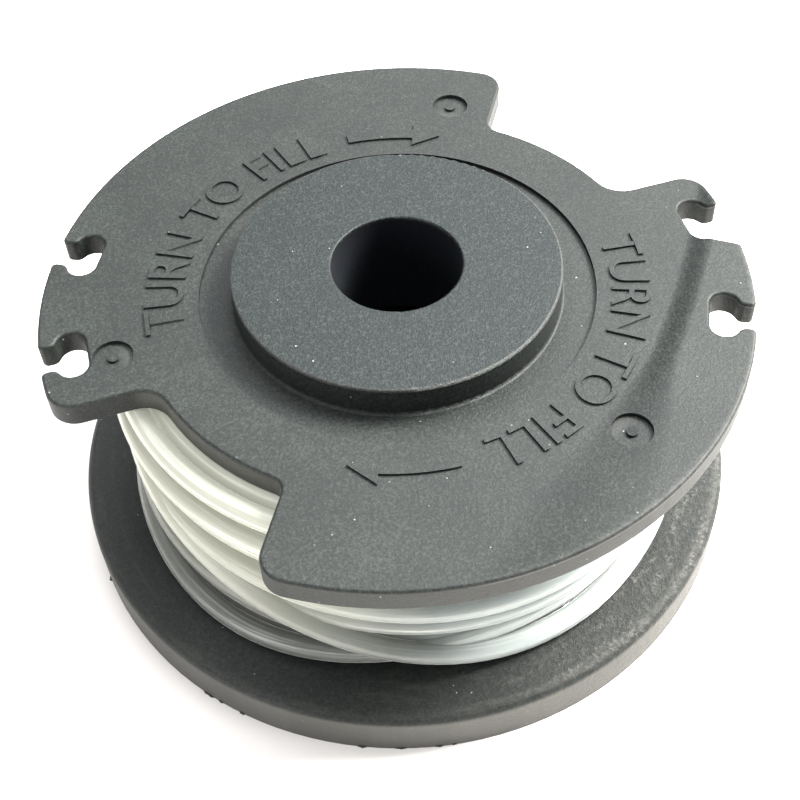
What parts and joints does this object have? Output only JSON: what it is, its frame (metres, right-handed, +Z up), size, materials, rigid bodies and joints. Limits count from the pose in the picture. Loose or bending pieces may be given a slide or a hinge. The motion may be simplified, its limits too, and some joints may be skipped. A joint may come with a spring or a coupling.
{
  "type": "trimmer line spool",
  "caption": "Flanged plastic spool with a two-lobed, notched upper flange, a bored boss and a hollow drive hub, wound with nylon trimmer line.",
  "frame": {"origin": "on the spool's axis, in the plane of the lower flange's bottom edge", "axes": "+Z up the bore towards the boss; +X midway between one pair of notches"},
  "size_m": [0.0654, 0.0654, 0.0295],
  "materials": {
    "moulding": "fine matte moulded grain",
    "line": "translucent drawn nylon"
  },
  "bodies": {
    "root": {"spool_body": "moulding", "line_winding": "line"}
  },
  "joints": []
}
